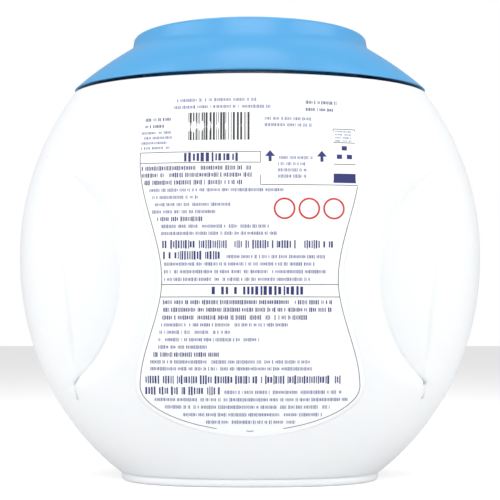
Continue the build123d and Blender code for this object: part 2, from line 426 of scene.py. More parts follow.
def tub_shell(sizes):
    """The bowl, foot and neck, out and in, with the ramps of the thread."""
    seam = sizes.seam_height
    shoulder = sizes.shoulder_height
    wall = sizes.wall
    foot_round, ring_width, push_up, slope = 1.8 * MM, 9 * MM, 3 * MM, 4 * MM
    rows = []
    middle = foot_row(sizes, ring_width + slope, push_up)
    flat = [(0.0, 0.0, push_up)] * len(middle)
    rows.extend(blended(flat, middle, share) for share in (0.02, 0.3, 0.6, 0.85, 0.96, 1))
    rows.append(foot_row(sizes, ring_width + slope - 0.5 * MM, push_up - 0.15 * MM))
    rows.append(foot_row(sizes, ring_width + 0.5 * MM, 0.2 * MM))
    rows.append(foot_row(sizes, ring_width - 0.3 * MM, 0))
    for angle in arc_steps(6, 0, 90):
        rows.append(foot_row(sizes, foot_round * (1 - math.sin(angle)), foot_round * (1 - math.cos(angle))))
    groove = 0.8 * MM
    rows.append(foot_row(sizes, 0, seam - groove))
    rows.append(foot_row(sizes, groove * 0.6, seam - groove * 0.4))
    rows.append(foot_row(sizes, groove, seam))
    rows.append(bowl_row(sizes, seam + 0.15 * MM, groove))
    rows.append(bowl_row(sizes, seam + 0.35 * MM, 0.35 * MM))
    edge = 1.2 * MM
    levels = np.linspace(seam + 0.9 * MM, shoulder - edge, BOWL_ROWS)
    rows.extend(bowl_row(sizes, float(level)) for level in levels)
    for angle in arc_steps(6, 15, 90):
        inset = edge * (1 - math.cos(angle))
        level = shoulder - edge * (1 - math.sin(angle))
        rows.append([(x, y, level) for x, y, _ in bowl_row(sizes, shoulder - edge, inset)])
    shelf_edge = rows[-1]
    turns = column_turns(sizes, shoulder - edge)
    neck = NECK_RADIUS
    root = 1.2 * MM
    shelf_end = oblong_ring(turns, neck + root, neck + root, 2, shoulder)
    rows.extend(blended(shelf_edge, shelf_end, share) for share in (0.02, 0.25, 0.5, 0.75, 1))
    for angle in arc_steps(4, 20, 90):
        radius = neck + root * (1 - math.sin(angle))
        rows.append(oblong_ring(turns, radius, radius, 2, shoulder + root * (1 - math.cos(angle))))
    lip = TUB_HIGH.z
    lip_round = NECK_WALL / 2
    centre = neck - lip_round
    for angle in arc_steps(8, 0, 180):
        radius = centre + lip_round * math.cos(angle)
        rows.append(oblong_ring(turns, radius, radius, 2, lip - lip_round * (1 - math.sin(angle))))
    bore = neck - NECK_WALL
    ceiling = shoulder - wall
    rows.append(oblong_ring(turns, bore, bore, 2, ceiling + 1.5 * MM))
    rows.append(oblong_ring(turns, bore + 1.0 * MM, bore + 1.0 * MM, 2, ceiling))
    inner_top = bowl_row(sizes, ceiling, wall)
    rows.append(blended(rows[-1], inner_top, 0.5))
    rows.extend(bowl_row(sizes, float(level), wall) for level in np.linspace(ceiling, seam + 1.5 * MM, 40))
    rows.append(foot_row(sizes, wall, seam))
    rows.append(foot_row(sizes, wall, wall + 0.6 * MM))
    rows.append(foot_row(sizes, wall + 0.6 * MM, wall))
    rows.append(foot_row(sizes, ring_width - wall, wall))
    rows.append(foot_row(sizes, ring_width + slope - wall, push_up + wall))
    last = rows[-1]
    hub = [(0.0, 0.0, push_up + wall)] * len(last)
    rows.extend(blended(last, hub, share) for share in (0.3, 0.7, 0.98))
    shell = Shell()
    shell.add_rings(rows, capped=True)
    ramp_level = shoulder + LUG_LEVEL + LUG_HEIGHT + THREAD_PLAY + THREAD_LEAD * RAMP_START / 360
    shell.add_ribs(neck - RIB_ROOT, neck + RAMP_REACH, ramp_level, RAMP_HEIGHT, RAMP_START, RAMP_SWEEP)
    return shell


LID_COLUMNS = 288
FLANGE_ROWS = 76
FLANGE_BOW = 0.8 * 2.4 * MM   # how far the ends' slope bows out
FLANGE_DRAW = 9 * MM          # how far the flange's faces draw in by its top
HIGHEST_RISE = 1.15           # past this the dome's formula no longer matters
CROWN_BLEND = 1.6 * MM
CROWN_DIP = 0.35 * MM         # how far the crown's top lies under its edge


def soft_max(first, second, soft):
    """The larger of two values, rounded where they meet."""
    return (first + second + np.sqrt((first - second) ** 2 + soft**2)) / 2


def flange_radius(tub, lid, turn, rise, inset=0.0):
    """The lid's oblong dome: its radius in a direction, at a share of its rise."""
    rim_width = LID_HIGH.x - inset
    rim_depth = float(half_depth(tub, tub.shoulder_height)) - inset
    top_width = lid.crown_radius - 0.5 * MM - inset
    bow = 4 * FLANGE_BOW * rise * (1 - rise)
    width = rim_width - (rim_width - top_width) * rise + bow
    depth = rim_depth - FLANGE_DRAW * rise**3
    power = SHOULDER_SQUARENESS
    return (np.abs(np.cos(turn) / width) ** power + np.abs(np.sin(turn) / depth) ** power) ** (-1 / power)


def crown_radius_at(lid, height):
    """The crown's radius at a height."""
    return lid.crown_radius + (LID_HIGH.z - height) * math.tan(lid.crown_draft)


def lid_shell(tub, lid):
    """The lid's dome and crown, out and in, with its skirt and lugs."""
    rim, top = LID_LOW.z, LID_HIGH.z
    wall = lid.wall
    turn = np.arange(LID_COLUMNS) * 2 * math.pi / LID_COLUMNS

    def ring(radius, height):
        radius = np.broadcast_to(radius, turn.shape)
        return list(zip(radius * np.cos(turn), radius * np.sin(turn), np.broadcast_to(height, turn.shape)))

    ceiling = top - wall
    rows = [ring(lid.crown_radius * share, ceiling) for share in (0.02, 0.5, 0.9)]
    for height in np.linspace(ceiling, rim, 30):
        rise = (height - rim) / lid.flange_rise
        dome = flange_radius(tub, lid, turn, min(rise, HIGHEST_RISE), wall)
        rows.append(ring(np.maximum(dome, crown_radius_at(lid, height) - wall), height))
    rim_round = 0.5 * MM
    rim_outside = flange_radius(tub, lid, turn, 0.0)
    rows.append(ring(rim_outside - rim_round, rim))
    rows.append(ring(rim_outside - rim_round * 0.3, rim + rim_round * 0.3))
    for height in np.linspace(rim + rim_round, top - lid.crown_round, FLANGE_ROWS):
        rise = (height - rim) / lid.flange_rise
        dome = flange_radius(tub, lid, turn, min(rise, HIGHEST_RISE))
        rows.append(ring(soft_max(dome, crown_radius_at(lid, height), CROWN_BLEND), height))
    for angle in arc_steps(5, 15, 90):
        radius = lid.crown_radius - lid.crown_round * (1 - math.cos(angle))
        rows.append(ring(radius, top - lid.crown_round * (1 - math.sin(angle))))
    for share in (0.985, 0.93, 0.92, 0.6, 0.3, 0.02):
        dip = CROWN_DIP if share < 0.925 else 0.0
        rows.append(ring(lid.crown_radius * share, top - dip))
    shell = Shell()
    shell.add_rings(rows, capped=True)
    bore = NECK_RADIUS + RAMP_REACH + THREAD_GAP
    skirt_low, skirt_high = rim + 1.2 * MM, ceiling + 0.4 * MM
    skirt = [
        ring(bore, skirt_low),
        ring(bore + lid.skirt_wall, skirt_low),
        ring(bore + lid.skirt_wall, skirt_high),
        ring(bore, skirt_high),
    ]
    shell.add_rings(skirt, closed=True)
    lug_level = tub.shoulder_height + LUG_LEVEL
    shell.add_ribs(bore + RIB_ROOT, NECK_RADIUS + THREAD_GAP, lug_level, LUG_HEIGHT, LUG_START, LUG_SWEEP)
    return shell


def liner_shell(tub, lid):
    """The foamed seal disc, with a shallow pressed ring where the neck's lip meets it."""
    low, high = LINER_LOW.z, LINER_HIGH.z
    radius = LINER_HIGH.x
    turn = np.arange(160) * 2 * math.pi / 160
    soft = 0.3 * MM
    lip = NECK_RADIUS - NECK_WALL / 2

    def ring(size, height):
        return [(size * math.cos(angle), size * math.sin(angle), height) for angle in turn]

    pressed = 0.12 * MM
    rows = [ring(size, low) for size in (1 * MM, lip * 0.5, lip - 1.8 * MM)]
    rows += [ring(lip - 1 * MM, low + pressed), ring(lip + 1 * MM, low + pressed), ring(lip + 1.8 * MM, low)]
    rows += [ring(radius - soft, low), ring(radius, low + soft), ring(radius, high - soft)]
    rows += [ring(size, high) for size in (radius - soft, radius * 0.5, 1 * MM)]
    shell = Shell()
    shell.add_rings(rows, capped=True)
    return shell


# Labels and their print

LABEL_TOP = 199 * MM
LABEL_SHOULDER = 163 * MM
LABEL_WAIST = 104 * MM
LABEL_SKIRT = 51 * MM
LABEL_BOTTOM = 26.5 * MM
SHOULDER_HALF = 57.3 * MM
WAIST_HALF = 46 * MM
SKIRT_HALF = 57.2 * MM
TOP_POWER = 3.4               # exponents of the label's rounded top and bottom
BOTTOM_POWER = 1.85
FILM_ENDS = 0.9999            # keeps the film's first and last rows off its very ends
FILM_UNDERSIDE = 0.25         # share of the film's lift at which its underside lies


def label_half(height, inset=0.0):
    """Half the label's width at a height, inside its edge by inset."""
    above = ease((height - LABEL_WAIST) / (LABEL_SHOULDER - LABEL_WAIST))
    below = ease((LABEL_WAIST - height) / (LABEL_WAIST - LABEL_SKIRT))
    upper_side = WAIST_HALF + (SHOULDER_HALF - WAIST_HALF) * above
    lower_side = WAIST_HALF + (SKIRT_HALF - WAIST_HALF) * below
    side = np.where(height > LABEL_WAIST, upper_side, lower_side) - inset
    upper = np.clip((height - LABEL_SHOULDER) / (LABEL_TOP - inset - LABEL_SHOULDER), 0, 1)
    lower = np.clip((LABEL_SKIRT - height) / (LABEL_SKIRT - LABEL_BOTTOM - inset), 0, 1)
    top = (1 - upper**TOP_POWER) ** (1 / TOP_POWER)
    bottom = (1 - lower**BOTTOM_POWER) ** (1 / BOTTOM_POWER)
    return side * top * bottom


def on_face(sizes, side, across, height, lift):
    """A point over one face of the bowl; side is -1 for the back label's face and 1 for the front's."""
    depth = float(face_depth(sizes, np.float64(across), np.float64(height)))
    return (across, side * (depth + lift), height)


def film(sizes, label, side, name):
    """A label: a thin closed film that follows the bowl's face."""
    rows, columns = 90, 28
    turn = np.linspace(0, math.pi, rows + 1)
    middle, reach = (LABEL_TOP + LABEL_BOTTOM) / 2, (LABEL_TOP - LABEL_BOTTOM) / 2
    heights = middle - reach * np.cos(turn) * FILM_ENDS
    shell = Shell()
    points, faces = [], []
    for lift in (label.lift, label.lift * FILM_UNDERSIDE):
        for height in heights:
            half = float(label_half(height))
            for column in range(columns + 1):
                across = half * (2 * column / columns - 1)
                points.append(on_face(sizes, side, across, height, lift))
    back = (rows + 1) * (columns + 1)
    for row in range(rows):
        for column in range(columns):
            low = row * (columns + 1) + column
            quad = (low, low + 1, low + columns + 2, low + columns + 1)
            faces.append(quad)
            faces.append(tuple(back + index for index in reversed(quad)))
    edge = list(range(columns + 1))
    edge += [row * (columns + 1) + columns for row in range(1, rows + 1)]
    edge += [rows * (columns + 1) + column for column in range(columns - 1, -1, -1)]
    edge += [row * (columns + 1) for row in range(rows - 1, 0, -1)]
    for index, point in enumerate(edge):
        after = edge[(index + 1) % len(edge)]
        faces.append((after, point, back + point, back + after))
    if side > 0:
        faces = [tuple(reversed(face)) for face in faces]
    shell.add(points, faces)
    return shell.build(name)


class Ink:
    """Flat printed shapes laid on a label, given by places across it and up it."""

    def __init__(self, sizes, label, side):
        self.sizes = sizes
        self.side = side
        self.lift = label.lift + label.ink_lift
        self.shell = Shell()

    def polygon(self, outline):
        """A filled convex shape."""
        points = [on_face(self.sizes, self.side, x, z, self.lift) for x, z in outline]
        face = tuple(range(len(points)))
        area = sum(a[0] * b[1] - a[1] * b[0] for a, b in zip(outline, outline[1:] + outline[:1]))
        if (area > 0) == (self.side > 0):
            face = tuple(reversed(face))
        self.shell.add(points, [face])

    def box(self, left, right, low, high, pieces=1):
        """A filled box, cut upright into pieces so that it follows the face."""
        for index in range(pieces):
            start = left + (right - left) * index / pieces
            end = left + (right - left) * (index + 1) / pieces
            self.polygon([(start, low), (end, low), (end, high), (start, high)])

    def stroke(self, path, width, closed=False):
        """A line of even width along a path."""
        count = len(path)
        sides = []
        for index, place in enumerate(path):
            before = path[index - 1] if closed or index else place
            after = path[(index + 1) % count] if closed or index < count - 1 else place
            along = Vector((after[0] - before[0], after[1] - before[1])).normalized() * (width / 2)
            sides.append(((place[0] - along.y, place[1] + along.x), (place[0] + along.y, place[1] - along.x)))
        for index in range(count if closed else count - 1):
            first, second = sides[index], sides[(index + 1) % count]
            self.polygon([first[0], second[0], second[1], first[1]])

    def rule(self, left, right, height, width):
        """A level line."""
        steps = max(2, round((right - left) / (3 * MM)))
        self.stroke([(left + (right - left) * step / steps, height) for step in range(steps + 1)], width)

    def ring(self, across, height, radius, width):
        """A plain ring."""
        turns = [2 * math.pi * index / 48 for index in range(48)]
        path = [(across + radius * math.cos(turn), height + radius * math.sin(turn)) for turn in turns]
        self.stroke(path, width, closed=True)

    def build(self, name):
        """The shapes as one object."""
        made = self.shell.build(name)
        made.data.polygons.foreach_set("use_smooth", [False] * len(made.data.polygons))
        return made


# Greeked rows, made with Geometry Nodes

ROW_INPUTS = (
    ("Film", "NodeSocketObject"),
    ("Left", "NodeSocketFloat"),
    ("Right", "NodeSocketFloat"),
    ("Top", "NodeSocketFloat"),
    ("Rows", "NodeSocketInt"),
    ("Pitch", "NodeSocketFloat"),
    ("Height", "NodeSocketFloat"),
    ("Width", "NodeSocketFloat"),
    ("Gap", "NodeSocketFloat"),
    ("Ragged", "NodeSocketFloat"),
    ("Side", "NodeSocketFloat"),
    ("Lift", "NodeSocketFloat"),
    ("Seed", "NodeSocketInt"),
    ("Ink", "NodeSocketMaterial"),
)
MARKS_PER_ROW = 150
MARK_WIDTHS = (0.55, 1.25)    # shares of the mark's stated width
MARK_HEIGHTS = (0.66, 1.0)    # and of its stated height
MARK_SHARE = 0.84             # the rest are spaces between words


def rows_tree():
    """Rows of small upright marks, broken into words, that are dropped onto the film."""
    tree = bpy.data.node_groups.new("Greeked rows", "GeometryNodeTree")
    for name, kind in ROW_INPUTS:
        tree.interface.new_socket(name, in_out="INPUT", socket_type=kind)
    tree.interface.new_socket("Geometry", in_out="OUTPUT", socket_type="NodeSocketGeometry")
    nodes, links = tree.nodes, tree.links
    given = nodes.new("NodeGroupInput").outputs

    def put(socket, value):
        if isinstance(value, bpy.types.NodeSocket):
            links.new(value, socket)
        else:
            socket.default_value = value

    def maths(operation, *values):
        node = nodes.new("ShaderNodeMath")
        node.operation = operation
        for socket, value in zip(node.inputs, values):
            put(socket, value)
        return node.outputs[0]

    def draw(low, high, key, offset):
        node = nodes.new("FunctionNodeRandomValue")
        node.data_type = "FLOAT"
        put(node.inputs[2], low)
        put(node.inputs[3], high)
        put(node.inputs["ID"], key)
        put(node.inputs["Seed"], maths("ADD", given["Seed"], offset))
        return node.outputs[1]

    def vector(x, y, z):
        node = nodes.new("ShaderNodeCombineXYZ")
        for socket, value in zip(node.inputs, (x, y, z)):
            put(socket, value)
        return node.outputs[0]

    index = nodes.new("GeometryNodeInputIndex").outputs[0]
    row = maths("FLOOR", maths("DIVIDE", index, MARKS_PER_ROW))
    width = maths("MULTIPLY", given["Width"], draw(*MARK_WIDTHS, index, 1))
    running = nodes.new("GeometryNodeAccumulateField")
    running.data_type = "FLOAT"
    put(running.inputs["Value"], maths("ADD", width, given["Gap"]))
    put(running.inputs["Group ID"], row)
    across = maths("ADD", given["Left"], running.outputs["Trailing"])
    span = maths("SUBTRACT", given["Right"], given["Left"])
    short = maths("MULTIPLY", maths("MULTIPLY", span, given["Ragged"]), draw(0.0, 1.0, row, 2))
    past_end = maths("GREATER_THAN", across, maths("SUBTRACT", given["Right"], short))
    space = maths("GREATER_THAN", draw(0.0, 1.0, index, 3), MARK_SHARE)
    tall = maths("MULTIPLY", given["Height"], draw(*MARK_HEIGHTS, index, 4))
    level = maths("SUBTRACT", given["Top"], maths("MULTIPLY", row, given["Pitch"]))
    cloud = nodes.new("GeometryNodePoints")
    put(cloud.inputs["Count"], maths("MULTIPLY", given["Rows"], MARKS_PER_ROW))
    stored = nodes.new("GeometryNodeStoreNamedAttribute")
    stored.data_type = "FLOAT_VECTOR"
    stored.inputs["Name"].default_value = "mark"
    links.new(cloud.outputs[0], stored.inputs["Geometry"])
    put(stored.inputs["Value"], vector(width, tall, maths("MAXIMUM", past_end, space)))
    placed = nodes.new("GeometryNodeSetPosition")
    links.new(stored.outputs[0], placed.inputs["Geometry"])
    put(placed.inputs["Position"], vector(across, 0.0, level))
    mark = nodes.new("GeometryNodeInputNamedAttribute")
    mark.data_type = "FLOAT_VECTOR"
    mark.inputs["Name"].default_value = "mark"
    parts = nodes.new("ShaderNodeSeparateXYZ")
    links.new(mark.outputs["Attribute"], parts.inputs[0])
    trimmed = nodes.new("GeometryNodeDeleteGeometry")
    links.new(placed.outputs[0], trimmed.inputs["Geometry"])
    put(trimmed.inputs["Selection"], parts.outputs[2])
    grid = nodes.new("GeometryNodeMeshGrid")
    for name, value in (("Size X", 1.0), ("Size Y", 1.0), ("Vertices X", 2), ("Vertices Y", 2)):
        grid.inputs[name].default_value = value
    upright = nodes.new("GeometryNodeTransform")
    links.new(grid.outputs["Mesh"], upright.inputs["Geometry"])
    upright.inputs["Rotation"].default_value = (math.radians(90), 0, 0)
    set_out = nodes.new("GeometryNodeInstanceOnPoints")
    links.new(trimmed.outputs[0], set_out.inputs["Points"])
    links.new(upright.outputs[0], set_out.inputs["Instance"])
    put(set_out.inputs["Scale"], vector(parts.outputs[0], 1.0, parts.outputs[1]))
    real = nodes.new("GeometryNodeRealizeInstances")
    links.new(set_out.outputs[0], real.inputs[0])
    film_in = nodes.new("GeometryNodeObjectInfo")
    put(film_in.inputs["Object"], given["Film"])
    where = nodes.new("GeometryNodeInputPosition").outputs[0]
    spot = nodes.new("ShaderNodeSeparateXYZ")
    links.new(where, spot.inputs[0])
    cast = nodes.new("GeometryNodeRaycast")
    links.new(film_in.outputs["Geometry"], cast.inputs["Target Geometry"])
    put(cast.inputs["Source Position"], vector(spot.outputs[0], given["Side"], spot.outputs[2]))
    put(cast.inputs["Ray Direction"], vector(0.0, maths("MULTIPLY", given["Side"], -1.0), 0.0))
    cast.inputs["Ray Length"].default_value = 2.0
    hit = nodes.new("ShaderNodeSeparateXYZ")
    links.new(cast.outputs["Hit Position"], hit.inputs[0])
    lifted = maths("ADD", hit.outputs[1], maths("MULTIPLY", given["Side"], given["Lift"]))
    laid = nodes.new("GeometryNodeSetPosition")
    links.new(real.outputs[0], laid.inputs["Geometry"])
    put(laid.inputs["Position"], vector(hit.outputs[0], lifted, hit.outputs[2]))
    inked = nodes.new("GeometryNodeSetMaterial")
    links.new(laid.outputs[0], inked.inputs["Geometry"])
    put(inked.inputs["Material"], given["Ink"])
    links.new(inked.outputs[0], nodes.new("NodeGroupOutput").inputs[0])
    return tree


def printed_rows(name, tree, values):
    """The rows of one block of print as a plain mesh object."""
    carrier = new_object(name + "_carrier", [(0, 0, 0)], [])
    modifier = carrier.modifiers.new("Rows", "NODES")
    modifier.node_group = tree
    for item in tree.interface.items_tree:
        if item.in_out == "INPUT":
            modifier[item.identifier] = values[item.name]
    evaluated = carrier.evaluated_get(bpy.context.evaluated_depsgraph_get())
    mesh = bpy.data.meshes.new_from_object(evaluated)
    carrier.modifiers.remove(modifier)
    bpy.data.objects.remove(carrier)
    made = bpy.data.objects.new(name, mesh)
    bpy.context.scene.collection.objects.link(made)
    return made


def joined(name, objects):
    """Several objects as one."""
    with bpy.context.temp_override(active_object=objects[0], selected_editable_objects=objects):
        bpy.ops.object.join()
    objects[0].name = name
    objects[0].data.name = name
    return objects[0]


# Finishes


def grain_group():
    """Fine moulded grain over a slow waviness of the wall."""
    group = bpy.data.node_groups.new("Moulded grain", "ShaderNodeTree")
    for name, value in (("Grain Scale", 900.0), ("Wave Scale", 14.0), ("Wave Share", 0.5)):
        socket = group.interface.new_socket(name, in_out="INPUT", socket_type="NodeSocketFloat")
        socket.default_value = value
    group.interface.new_socket("Height", in_out="OUTPUT", socket_type="NodeSocketFloat")
    nodes, links = group.nodes, group.links
    given = nodes.new("NodeGroupInput").outputs
    place = nodes.new("ShaderNodeTexCoord").outputs["Object"]
    heights = []
    for scale in ("Grain Scale", "Wave Scale"):
        noise = nodes.new("ShaderNodeTexNoise")
        links.new(place, noise.inputs["Vector"])
        links.new(given[scale], noise.inputs["Scale"])
        noise.inputs["Detail"].default_value = 3.0
        heights.append(noise.outputs["Fac"])
    mix = nodes.new("ShaderNodeMix")
    links.new(given["Wave Share"], mix.inputs["Factor"])
    links.new(heights[0], mix.inputs[2])
    links.new(heights[1], mix.inputs[3])
    links.new(mix.outputs[0], nodes.new("NodeGroupOutput").inputs[0])
    return group


def handling_group():
    """Faint cloudiness of the colour, and rubbed places that are a little rougher."""
    group = bpy.data.node_groups.new("Handling", "ShaderNodeTree")
    group.interface.new_socket("Color", in_out="INPUT", socket_type="NodeSocketColor")
    for name, value in (("Cloud", 0.05), ("Roughness", 0.35), ("Rub", 0.1)):
        socket = group.interface.new_socket(name, in_out="INPUT", socket_type="NodeSocketFloat")
        socket.default_value = value
    group.interface.new_socket("Color", in_out="OUTPUT", socket_type="NodeSocketColor")
    group.interface.new_socket("Roughness", in_out="OUTPUT", socket_type="NodeSocketFloat")
    nodes, links = group.nodes, group.links
    given = nodes.new("NodeGroupInput").outputs
    place = nodes.new("ShaderNodeTexCoord").outputs["Object"]
    cloud = nodes.new("ShaderNodeTexNoise")
    cloud.inputs["Scale"].default_value = 22.0
    cloud.inputs["Detail"].default_value = 4.0
    rub = nodes.new("ShaderNodeTexNoise")
    rub.inputs["Scale"].default_value = 60.0
    rub.inputs["Detail"].default_value = 6.0
    rub.inputs["Roughness"].default_value = 0.7
    links.new(place, cloud.inputs["Vector"])
    links.new(place, rub.inputs["Vector"])
    darker = nodes.new("ShaderNodeHueSaturation")
    darker.inputs["Value"].default_value = 0.8
    links.new(given["Color"], darker.inputs["Color"])
    share = nodes.new("ShaderNodeMath")
    share.operation = "MULTIPLY"
    links.new(cloud.outputs["Fac"], share.inputs[0])
    links.new(given["Cloud"], share.inputs[1])
    tint = nodes.new("ShaderNodeMix")
    tint.data_type = "RGBA"
    links.new(share.outputs[0], tint.inputs[0])
    links.new(given["Color"], tint.inputs[6])
    links.new(darker.outputs[0], tint.inputs[7])
    rough = nodes.new("ShaderNodeMath")
    rough.operation = "MULTIPLY_ADD"
    links.new(rub.outputs["Fac"], rough.inputs[0])
    links.new(given["Rub"], rough.inputs[1])
    links.new(given["Roughness"], rough.inputs[2])
    out = nodes.new("NodeGroupOutput")
    links.new(tint.outputs[2], out.inputs[0])
    links.new(rough.outputs[0], out.inputs[1])
    return group


def finish(name, base, rough, rub, grain, wave, depth, cloud=0.05, specular=0.5, under=0.0):
    """A plastic, film or ink built from the shared groups."""
    material = bpy.data.materials.new(name)
    material.use_nodes = True
    nodes, links = material.node_tree.nodes, material.node_tree.links
    shader = nodes["Principled BSDF"]
    shader.inputs["Specular IOR Level"].default_value = specular
    shader.inputs["Subsurface Weight"].default_value = under
    shader.inputs["Subsurface Scale"].default_value = 0.004
    handled = nodes.new("ShaderNodeGroup")
    handled.node_tree = bpy.data.node_groups["Handling"]
    handled.inputs["Color"].default_value = (*base, 1)
    handled.inputs["Cloud"].default_value = cloud
    handled.inputs["Roughness"].default_value = rough
    handled.inputs["Rub"].default_value = rub
    links.new(handled.outputs["Color"], shader.inputs["Base Color"])
    links.new(handled.outputs["Roughness"], shader.inputs["Roughness"])
    grained = nodes.new("ShaderNodeGroup")
    grained.node_tree = bpy.data.node_groups["Moulded grain"]
    grained.inputs["Grain Scale"].default_value = grain
    grained.inputs["Wave Share"].default_value = wave
    bump = nodes.new("ShaderNodeBump")
    bump.inputs["Strength"].default_value = 0.25
    bump.inputs["Distance"].default_value = depth
    links.new(grained.outputs["Height"], bump.inputs["Height"])
    links.new(bump.outputs["Normal"], shader.inputs["Normal"])
    return material


def make_finishes(colours):
    """All the object's finishes."""
    grain_group()
    handling_group()
    finish("White bowl plastic", colours.white, 0.38, 0.1, 900, 0.6, 0.0004, under=0.05)
    finish("Blue lid plastic", colours.blue, 0.27, 0.08, 1100, 0.4, 0.0002)
    finish("Seal foam", colours.foam, 0.75, 0.1, 1600, 0.1, 0.0006, specular=0.3)
    finish("Label film", colours.film, 0.3, 0.06, 500, 0.7, 0.0001, cloud=0.02)
    for name, ink in (
        ("Navy ink", colours.navy),
        ("Slate ink", colours.slate),
        ("Black ink", colours.black),
        ("Red ink", colours.red),
    ):
        finish(name, ink, 0.35, 0.08, 1400, 0.2, 0.00005, cloud=0.15)


def dress(piece, material, body):
    """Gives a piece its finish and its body."""
    piece.data.materials.clear()
    piece.data.materials.append(bpy.data.materials[material])
    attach(piece, body)


# Operators


class PODTUB_OT_finishes(bpy.types.Operator):
    """Make the plastics, film and inks"""

    bl_idname = "podtub.finishes"
    bl_label = "Finishes"

    def execute(self, context):
        make_finishes(context.scene.podtub_colours)
        return {"FINISHED"}


class PODTUB_OT_bowl(bpy.types.Operator):
    """Build the blown bowl with its foot, scoops, shoulder and threaded neck"""

    bl_idname = "podtub.bowl"
    bl_label = "Bowl"

    def execute(self, context):
        bowl = tub_shell(context.scene.podtub_tub).build("bowl")
        dress(bowl, "White bowl plastic", "tub")
        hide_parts("tub_body")
        return {"FINISHED"}


class PODTUB_OT_lid(bpy.types.Operator):
    """Build the oblong lid with its crown, skirt and lugs"""

    bl_idname = "podtub.lid"
    bl_label = "Lid"

    def execute(self, context):
        cap = lid_shell(context.scene.podtub_tub, context.scene.podtub_lid).build("cap")
        dress(cap, "Blue lid plastic", "lid")
        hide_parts("lid")
        return {"FINISHED"}


class PODTUB_OT_seal(bpy.types.Operator):
    """Build the foamed seal disc"""

    bl_idname = "podtub.seal"
    bl_label = "Seal disc"

    def execute(self, context):
        disc = liner_shell(context.scene.podtub_tub, context.scene.podtub_lid).build("seal_disc")
        dress(disc, "Seal foam", "seal")
        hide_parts("lid_liner")
        return {"FINISHED"}


MARK_FILL = 0.6               # share of a letter's width that its mark takes up
MARK_GAP = 0.42
SEED_STEP = 10                # keeps the blocks' seeds apart

# Blocks of greeked rows, in millimetres: top, left, right, rows, pitch, letter height, letter width,
# share of a row that its ragged end may take, ink
BLOCKS = (
    (193.6, -37.5, 12, 2, 3.5, 1.9, 0.75, 0.25, "Slate ink"),
    (192.6, 28, 44.5, 2, 3.7, 1.9, 0.75, 0.2, "Navy ink"),
    (184.2, -52, -38.5, 2, 3.5, 1.9, 0.75, 0.3, "Navy ink"),
    (177.4, -54, -38.5, 4, 2.6, 1.5, 0.7, 0.2, "Slate ink"),
    (184.0, 7.5, 36, 2, 3.2, 1.9, 0.75, 0.2, "Slate ink"),
    (164.3, 14, 32.5, 4, 3.1, 1.9, 0.75, 0.3, "Slate ink"),
    (178.0, 42.5, 51, 4, 1.6, 0.9, 0.6, 0.2, "Slate ink"),
    (164.6, -32, -6.5, 1, 5, 4.6, 2.2, 0.0, "Navy ink"),
    (159.2, -53.5, 3.5, 2, 3.5, 2.4, 0.85, 0.05, "Navy ink"),
    (152.0, -52, -4, 1, 3.5, 2.5, 0.9, 0.0, "Navy ink"),
    (148.2, -49.5, 17, 1, 3.6, 1.9, 0.75, 0.0, "Slate ink"),
    (144.6, -48, -8, 3, 3.6, 1.9, 0.75, 0.5, "Slate ink"),
    (133.8, -45.5, -23, 1, 3.6, 2.5, 0.9, 0.0, "Navy ink"),
    (130.2, -43.5, 15, 2, 3.5, 1.9, 0.75, 0.1, "Slate ink"),
    (121.3, -42.8, 41.5, 1, 5, 4.4, 1.25, 0.0, "Navy ink"),
    (115.9, -42.3, -14, 1, 5, 4.4, 1.3, 0.0, "Navy ink"),
    (115.2, -12, 37, 1, 3.6, 1.9, 0.75, 0.0, "Slate ink"),
    (111.6, -42, 41, 3, 3.75, 1.9, 0.75, 0.15, "Slate ink"),
    (98.6, -18, 26.5, 1, 5, 4.6, 2.2, 0.0, "Navy ink"),
    (92.9, -42.5, 42, 2, 3.7, 2.3, 0.85, 0.03, "Navy ink"),
    (85.4, -43, 28, 1, 3.6, 2.5, 0.9, 0.0, "Navy ink"),
    (81.8, -43.5, 19, 1, 3.6, 1.9, 0.75, 0.0, "Slate ink"),
    (78.2, -45, 6, 3, 3.65, 1.9, 0.75, 0.6, "Slate ink"),
    (67.2, -47.5, -15.5, 1, 3.6, 2.5, 0.9, 0.0, "Navy ink"),
    (63.6, -49, 35, 2, 3.4, 1.9, 0.75, 0.08, "Slate ink"),
    (54.8, -51.5, 45, 1, 5, 4.4, 1.25, 0.0, "Navy ink"),
    (49.3, -51.5, -14, 1, 5, 4.4, 1.3, 0.0, "Navy ink"),
    (48.6, -12.5, 45, 1, 3.6, 1.9, 0.75, 0.0, "Slate ink"),
    (44.9, -47, 48.5, 1, 3.6, 1.9, 0.75, 0.0, "Slate ink"),
    (41.2, -42, 39.5, 1, 3.6, 1.9, 0.75, 0.0, "Slate ink"),
    (37.4, -33, 35.5, 1, 3.6, 1.9, 0.75, 0.0, "Slate ink"),
    (33.7, -21.5, 22.5, 1, 3.6, 1.9, 0.75, 0.0, "Slate ink"),
)


